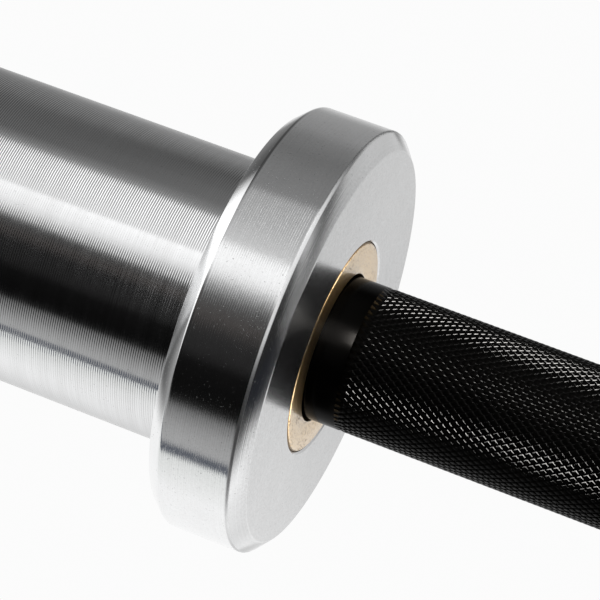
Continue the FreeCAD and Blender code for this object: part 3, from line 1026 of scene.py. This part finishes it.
@dataclass
class SleeveUnit:
    """What spins at one end of the bar: sleeve, collar, bushing and end cap.

    The tube's outline gives places along the bar and radii. The other outlines give places from the collar's face,
    radii and roundings.
    """

    side: Side
    face: float = 655.0
    sleeve_radius: float = 25.0
    sleeve_crease: float = 30.0
    groove_pitch: float = 0.4
    groove_depth: float = 0.0223
    groove_start: float = 673.0
    groove_count: int = 825
    groove_sides: int = 52
    valley: float = 0.667
    tube: Outline = (
        (1003.5, 25.0), (1005.0, 23.5), (1005.0, 22.02), (1004.0, 21.02), (1001.0, 21.02), (1001.0, 22.27),
        (999.15, 22.27), (999.15, 21.02), (983.35, 21.02), (983.35, 18.52), (958.35, 18.52), (958.35, 16.0),
        (715.0, 16.0), (715.0, 18.52), (660.0, 18.52), (660.0, 23.5), (660.5, 24.0), (672.02, 24.0),
        (672.02, 25.0), (673.0, 25.0))
    rim_radius: float = 37.0
    line_start: float = 2.9
    line_pitch: float = 0.38
    line_depth: float = 0.006
    line_count: int = 29
    line_slack: float = 0.01
    collar_front: Outline = ((0.3, 18.52), (0.0, 18.82), (0.0, 34.3, 0.22), (2.2, 37.0, 0.35))
    collar_back: Outline = ((14.5, 37.0, 0.35), (17.0, 34.7, 0.25), (17.0, 25.02, 0.1), (16.0, 24.02),
                            (5.0, 24.02), (5.0, 18.52))
    bushing_outline: Outline = ((4.0, 12.95), (0.0, 12.95, 0.2), (0.0, 18.5, 0.7), (59.2, 18.5), (60.0, 17.7),
                                (60.0, 12.55), (4.4, 12.55))
    cap_outline: Outline = ((344.2, 0.0), (344.2, 20.4, 0.2), (343.6, 21.0, 0.2), (331.35, 21.0), (331.35, 18.5),
                            (340.2, 18.5, 0.5), (340.2, 0.0))
    lathe: Lathe = field(default_factory=lambda: Lathe(steps=144))
    cap_lathe: Lathe = field(default_factory=lambda: Lathe(steps=96))
    plating: Finish = field(default_factory=GroovedPlating)
    turned: Finish = field(default_factory=TurnedPlating)
    bronze: Finish = field(default_factory=PittedBronze)
    alloy: Finish = field(default_factory=SatinAluminium)

    def at(self, x: float) -> float:
        """A place along the right half, brought to this side, in millimetres."""
        return x * self.side.value

    def corners(self, outline: Outline) -> list[Corner]:
        """The corners of an outline given from the collar's face."""
        return [Corner(self.at(self.face + x), *sizes) for x, *sizes in outline]

    def groove(self) -> Piece:
        """Models one groove as a strip of the sleeve's outside.

        Returns:
            The strip in object mode.
        """
        pitch = self.groove_pitch * MM
        middle = self.at(self.groove_start + self.groove_pitch / 2) * MM
        Bench.clear()
        bpy.ops.mesh.primitive_cylinder_add(vertices=self.groove_sides, radius=self.sleeve_radius * MM, depth=pitch,
                                            end_fill_type="NOTHING", location=(middle, 0, 0),
                                            rotation=(0, QUARTER, 0))
        strip = bpy.context.object
        bpy.ops.object.transform_apply()
        Bench.open(strip)
        Bench.pick(strip, Element.EDGE, lambda edge: not edge.is_boundary)
        bpy.ops.mesh.subdivide(number_cuts=1)
        Bench.pick(strip, Element.EDGE, Bench.is_ring)
        bpy.ops.mesh.mark_sharp()
        Bench.pick(strip, Element.VERTEX, lambda vertex: abs(vertex.co.x - middle) < pitch / 4)
        Bench.swell(1 - self.groove_depth / self.sleeve_radius)
        bpy.ops.transform.translate(value=(self.at(pitch * (self.valley - 0.5)), 0, 0))
        bpy.ops.object.mode_set(mode="OBJECT")
        return strip

    def sleeve(self) -> Piece:
        """Repeats the groove along the sleeve and draws the rest of the tube from its end.

        Returns:
            The sleeve in object mode.
        """
        piece = self.groove()
        Bench.repeat(piece, self.groove_count, self.at(self.groove_pitch))
        last = (self.groove_start + (self.groove_count - 0.5) * self.groove_pitch) * MM
        Bench.pick(piece, Element.EDGE, lambda edge: edge.is_boundary and abs(edge.verts[0].co.x) > last)
        reach = self.sleeve_radius
        for place, radius in self.tube:
            Bench.draw_on(self.at(place), radius / reach)
            reach = radius
        return Bench.close(piece, f"{self.side.word}_grooved_sleeve", self.sleeve_crease)

    def collar(self) -> Piece:
        """Turns the collar, with fine tool lines round its rim.

        Returns:
            The collar in object mode.
        """
        lines = [(self.line_start, self.rim_radius)]
        for number in range(self.line_count):
            deepest = self.line_start + (number + self.valley) * self.line_pitch
            lines += [(deepest, self.rim_radius - self.line_depth),
                      (self.line_start + (number + 1) * self.line_pitch, self.rim_radius)]
        piece = self.lathe.turn(f"{self.side.word}_turned_collar",
                                self.corners((*self.collar_front, *lines, *self.collar_back)))
        low = (self.face + lines[0][0] - self.line_slack) * MM
        high = (self.face + lines[-1][0] + self.line_slack) * MM
        floor = (self.rim_radius - 2 * self.line_depth) * MM
        Bench.open(piece)
        Bench.pick(piece, Element.EDGE, lambda edge: Bench.is_ring(edge) and all(
            low < abs(vertex.co.x) < high and Bench.radius(vertex.co) > floor for vertex in edge.verts))
        bpy.ops.mesh.mark_sharp()
        Bench.clear()
        return piece

    def bushing(self) -> Piece:
        """Turns the inner bushing, whose mouth shows round the shaft."""
        return self.lathe.turn(f"{self.side.word}_bronze_bushing", self.corners(self.bushing_outline))

    def cap(self) -> Piece:
        """Turns the end cap, a cup with a bare face."""
        return self.cap_lathe.turn(f"{self.side.word}_turned_cap", self.corners(self.cap_outline), closed=False)

    def build(self) -> None:
        """Models the pieces that show and puts them in place of their nodes."""
        made = {"sleeve": (self.sleeve(), Slot.SLEEVE, self.plating),
                "collar": (self.collar(), Slot.COLLAR, self.turned),
                "inner_bushing": (self.bushing(), Slot.BRONZE, self.bronze),
                "end_cap": (self.cap(), Slot.CAP, self.alloy)}
        for node, (piece, slot, finish) in made.items():
            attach(piece, self.side.body)
            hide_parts(f"{self.side.word}_{node}")
            finish.apply(piece)
            log.info("%s: %d faces", piece.name, len(piece.data.polygons))


@dataclass
class InnerFittings:
    """The nodes that keep their shape: outer bushings, washers and snap rings."""

    finishes: dict[str, Finish] = field(default_factory=lambda: {
        "outer_bushing": PittedBronze(), "thrust_washer": GroundSteel(), "end_washer": GroundSteel(),
        "shim_washer": GroundSteel(), "shaft_snap_ring": SpringSteel(), "cap_snap_ring": SpringSteel()})

    def dress(self) -> None:
        """Gives each node its finish."""
        for side in Side:
            for node, finish in self.finishes.items():
                finish.apply(frame["nodes"][f"{side.word}_{node}"])
        log.info("inner fittings: %d nodes", len(self.finishes) * len(Side))


@dataclass(frozen=True)
class Glow:
    """The light of a part of the room, by the angle towards the camera's side in degrees.

    The angle starts at straight up for the light above, and at straight down for the light below. The reach gives the
    directions along X between which this part takes over.
    """

    above: Stops
    below: Stops
    reach: Span = (-1.0, -1.0)

    @staticmethod
    def share(angle: float) -> float:
        """An angle as a share of the way from a quarter turn back to a quarter turn on."""
        return (angle + 90) / 180

    def lay(self, bench: NodeBench, share: Socket, upper: Socket) -> Socket:
        """Lays out the light's colour.

        Args:
            bench: The world's bench.
            share: The angle, as a share.
            upper: 1 above the horizon and 0 below it.

        Returns:
            The colour.
        """
        halves = [bench.ramp(share, *((self.share(angle), shade) for angle, shade in stops))
                  for stops in (self.below, self.above)]
        return bench.blend(upper, *halves)

    def lay_over(self, bench: NodeBench, light: Socket, x: Socket, share: Socket, upper: Socket) -> Socket:
        """Lays this light over another, within its reach.

        Args:
            bench: The world's bench.
            light: The other light.
            x: The direction along the bar.
            share: The angle, as a share.
            upper: 1 above the horizon and 0 below it.

        Returns:
            The colour of both.
        """
        return bench.blend(bench.span(x, *self.reach, how="SMOOTHSTEP"), light, self.lay(bench, share, upper))


@dataclass(frozen=True)
class Dusk:
    """A darker part of the room: by what share, and where it fades out along the bar and across it, in degrees."""

    depth: float
    along: Span
    across: Span

    def lay_over(self, bench: NodeBench, light: Socket, x: Socket, share: Socket) -> Socket:
        """Darkens a light.

        Args:
            bench: The world's bench.
            light: The light.
            x: The direction along the bar.
            share: The angle across it, as a share.

        Returns:
            The darker light.
        """
        fade = bench.span(share, *map(Glow.share, self.across), self.depth, 0.0)
        return bench.blend(bench.times(bench.span(x, *self.along, 1.0, 0.0), fade), light, (0, 0, 0))


@dataclass(frozen=True)
class Lamp:
    """A lamp by where it stands in the sky, how large it looks and how bright it is.

    The lean is its direction along X, the angle is measured from straight up towards the camera's side in degrees,
    and the size is in degrees along the bar and across it. It lights only pieces whose names end in the given way.
    """

    name: str
    lean: float
    angle: float
    size: Span
    glow: float
    lights: str
    shadow: bool = True
    tint: Colour = (1.0, 1.0, 1.0)

    def way(self) -> Vector:
        """Works out where the lamp stands.

        Returns:
            The direction from the bar to the lamp.
        """
        rest = math.sqrt(1 - self.lean ** 2)
        angle = math.radians(self.angle)
        return Vector((self.lean, -rest * math.sin(angle), rest * math.cos(angle)))


@dataclass
class Studio:
    """A pale floor, the light of the room round the bar, its lamps and the camera."""

    floor_level: float = -37.0
    floor_size: float = 60000.0
    pale: Colour = (0.97, 0.97, 0.97)
    eye: Point = (-555.0, -233.9, 371.4)
    right: Point = (0.9105, 0.4136, 0.0)
    forward: Point = (-0.2396, 0.5275, -0.8151)
    lens: float = 163.6
    near_clip: float = 10.0
    lamps: tuple[Lamp, ...] = (
        Lamp("key_lamp", 0.54, 4.0, (11.0, 28.0), 235.0, "_knurl"),
        Lamp("side_lamp", -0.78, -2.5, (9.0, 24.0), 140.0, "_knurl"),
        Lamp("strip_lamp", -0.24, 10.5, (22.0, 18.0), 52.0, "shaft_core", shadow=False),
        Lamp("fill_lamp", 0.26, 10.5, (14.0, 14.0), 12.0, "shaft_core", shadow=False),
        Lamp("end_lamp", 0.85, -130.0, (34.0, 110.0), 2.2, "_bushing", tint=(1.0, 0.80, 0.48)))
    lamp_aim: Point = (-640.0, 0.0, 0.0)
    lamp_reach: float = 6000.0
    watts: float = 4.0  # An area lamp's power for each square metre and unit of brightness.

    # Each part of the room is laid over those before it. The bar's sides mirror the first, the slopes of its grooves
    # the second, the bevels towards the plates the tail, the collar's face the ends, and the bevel round it the pole.
    sides: Glow = Glow(
        above=((-90, 0.30), (-78, 0.22), (-64, 0.175), (-48, 0.21), (-33, 0.235), (-31, 0.39), (-14, 0.47),
               (1, 0.65), (4, 1.19), (15, 1.08), (20, 0.80), (24.5, 0.33), (31, 0.085), (40, (0.075, 0.068, 0.065)),
               (47, 0.027), (58, 0.021), (63, 0.006), (76, 0.004), (82, 0.005), (86, 0.02), (88.5, 0.13), (90, 0.20)),
        below=((-90, 0.30), (-72, 0.33), (-63, 0.35), (-55, 0.50), (-47, 0.64), (-39, 0.78), (-30, 0.91), (-20, 1.0),
               (0, 1.03), (32, 1.05), (60.6, (0.84, 0.855, 0.84)), (62, (0.09, 0.10, 0.125)),
               (67, (0.09, 0.10, 0.125)), (68, 0.42), (73, 0.42), (82, 0.345), (90, 0.20)))
    slopes: Glow = Glow(
        above=((-90, 0.01), (-83, 0.03), (-75, 0.045), (-67, 0.08), (-58, 0.11), (-42, 0.15), (-35, 0.25),
               (-32, 0.45), (-29.5, 1.45), (-16, 1.55), (-10, 1.25), (-6, 1.08), (-2, 0.92), (5, 0.88), (9, 1.1),
               (13, 1.05), (15.5, 0.3), (18, 0.03), (24, 0.006), (33, 0.004), (76, 0.002), (86, 0.004), (89, 0.01),
               (90, 0.04)),
        below=((-90, 0.02), (-60, 0.04), (-54, 0.12), (-50, 0.35), (-42, 0.90), (-33, 0.85), (-10, 0.60), (0, 0.50),
               (15, 0.72), (32, 0.76), (50, 0.74), (58, 0.48), (60.6, 0.45), (62, (0.09, 0.10, 0.125)),
               (67, (0.09, 0.10, 0.125)), (68, 0.40), (74, 0.40), (82, 0.22), (87, 0.06), (90, 0.04)),
        reach=(-0.17, -0.08))
    tail: Glow = Glow(
        above=((-90, 1.1), (-72, 1.4), (-33, 1.6), (30, 1.4), (77, 0.9), (90, 0.45)),
        below=((-90, 1.2), (-72, 1.45), (-60, 1.4), (-32, 1.35), (-24, 0.34), (-16, 0.24), (0, 0.10), (9, 0.16),
               (30, 0.4), (50, 0.3), (75, 0.3), (90, 0.45)),
        reach=(-0.77, -0.89))
    ends: Glow = Glow(
        above=((-90, 0.58), (-82, 0.21), (-72, 0.07), (-60, 0.42), (-48, 0.80), (-38, 1.0), (38, 1.0), (50, 0.50),
               (62, 0.06), (90, 0.022)),
        below=((-90, 0.52), (-75, 0.60), (-60, 0.60), (-50, 0.67), (-33, 0.66), (-24, 0.85), (-15, 0.97), (-5, 0.86),
               (0, 0.83), (18, 0.94), (27, 1.1), (37, 0.50), (46, 0.08), (68, 0.022), (90, 0.022)),
        reach=(0.055, 0.10))
    pole: Glow = Glow(
        above=((-90, 0.16), (-80, 0.06), (-70, 0.07), (-58, 0.55), (-45, 0.18), (-37, 0.06), (0, 0.025), (67, 0.02),
               (90, 0.02)),
        below=((-90, 0.30), (-60, 0.25), (-40, 0.10), (-20, 0.03), (60, (0.016, 0.018, 0.024)), (90, 0.02)),
        reach=(0.86, 0.95))

    # Behind the bar and towards the plates the first two parts are darker.
    dusks: tuple[Dusk, ...] = (Dusk(0.4, (-0.36, -0.26), (-80.0, -60.0)), Dusk(0.6, (-0.48, -0.34), (-48.0, -38.0)))

    # The bright panel overhead hangs askew: its near edge moves by these degrees towards either end of the bar, and
    # the turn comes in and fades out between these angles.
    skew: Span = (5.0, 14.0)
    skew_along: Point = (-0.42, -0.24, 0.10)
    skew_across: Span = (-20.0, 5.0)
    skew_fades: Span = (45.0, 62.0)

    def lay_floor(self) -> None:
        """Makes the plain floor, which only the camera sees."""
        Bench.clear()
        bpy.ops.mesh.primitive_plane_add(size=self.floor_size * MM, location=(0, 0, self.floor_level * MM))
        floor = bpy.context.object
        floor.name = "floor"
        bpy.ops.object.transform_apply()
        floor.data.materials.append(ShaderBench("pale_floor").surface(
            Base_Color=(0, 0, 0), Roughness=1.0, Specular_IOR_Level=0.0, Emission_Color=self.pale,
            Emission_Strength=1.0))
        floor.visible_glossy = floor.visible_diffuse = floor.visible_transmission = floor.visible_shadow = False

    def light_room(self) -> None:
        """Sets the light that comes from round the bar, and a plain pale ground for the camera."""
        world = bpy.data.worlds.new("studio")
        bpy.context.scene.world = world
        world.use_nodes = True
        bench = NodeBench(world.node_tree)
        way = bench.split(bench.add("ShaderNodeTexCoord").outputs["Generated"])
        x = way["X"]
        angle = bench.math("ARCTAN2", bench.times(way["Y"], -1.0), bench.math("ABSOLUTE", way["Z"]))
        share = bench.span(angle, -QUARTER, QUARTER)
        upper = bench.math("GREATER_THAN", way["Z"], 0.0)
        start, middle, stop = self.skew_along
        turned = bench.plus(bench.span(x, start, middle, math.radians(self.skew[0]), 0.0),
                            bench.span(x, middle, stop, 0.0, -math.radians(self.skew[1])))
        for limits, ends in ((self.skew_across, (0.0, 1.0)), (self.skew_fades, (1.0, 0.0))):
            turned = bench.times(turned, bench.span(angle, *map(math.radians, limits), *ends))
        skewed = bench.span(bench.plus(angle, bench.times(turned, upper)), -QUARTER, QUARTER)
        light = self.sides.lay(bench, skewed, upper)
        light = self.slopes.lay_over(bench, light, x, skewed, upper)
        for dusk in self.dusks:
            light = dusk.lay_over(bench, light, x, share)
        for part in (self.tail, self.ends, self.pole):
            light = part.lay_over(bench, light, x, share, upper)
        seen = bench.add("ShaderNodeLightPath").outputs["Is Camera Ray"]
        bench.feed(world.node_tree.nodes["Background"].inputs["Color"], bench.blend(seen, light, self.pale))

    def hang_lamps(self) -> None:
        """Hangs the lamps, far off so that they light the bar alike along its length."""
        aim = Vector(self.lamp_aim) * MM
        for lamp in self.lamps:
            Bench.clear()
            bpy.ops.object.light_add(type="AREA")
            light = bpy.context.object
            light.name = lamp.name
            back = lamp.way()
            along = (Vector((1, 0, 0)) - back * back.x).normalized()
            turn = Matrix((along, back.cross(along), back)).transposed().to_4x4()
            light.matrix_world = Matrix.Translation(aim + back * self.lamp_reach * MM) @ turn
            light.data.shape = "RECTANGLE"
            sides = [math.radians(angle) * self.lamp_reach * MM for angle in lamp.size]
            light.data.size, light.data.size_y = sides
            light.data.energy = self.watts * sides[0] * sides[1] * lamp.glow
            light.data.color = lamp.tint
            light.data.use_shadow = lamp.shadow
            light.visible_camera = False
            lit = light.light_linking.receiver_collection = bpy.data.collections.new(f"{lamp.name}_lit")
            for piece in bpy.data.objects:
                if piece.name.endswith(lamp.lights):
                    lit.objects.link(piece)

    def set_camera(self) -> None:
        """Stands the camera where the photograph was taken from."""
        Bench.clear()
        bpy.ops.object.camera_add()
        camera = bpy.context.object
        right, forward = Vector(self.right).normalized(), Vector(self.forward).normalized()
        turn = Matrix((right, right.cross(forward), -forward)).transposed().to_4x4()
        camera.matrix_world = Matrix.Translation(Vector(self.eye) * MM) @ turn
        camera.data.lens = self.lens
        camera.data.clip_start = self.near_clip * MM
        bpy.context.scene.camera = camera

    def build(self) -> None:
        """Sets up the whole studio."""
        self.lay_floor()
        self.light_room()
        self.hang_lamps()
        self.set_camera()
        bpy.context.scene.view_settings.view_transform = "Standard"
        log.info("studio set up")


def main() -> None:
    """Builds the bar and its studio."""
    logging.basicConfig(level=logging.INFO, format="%(name)s: %(message)s")
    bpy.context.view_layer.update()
    Shaft().build()
    for side in Side:
        SleeveUnit(side).build()
    InnerFittings().dress()
    Studio().build()
    Bench.clear()


if __name__ == "__main__":
    main()
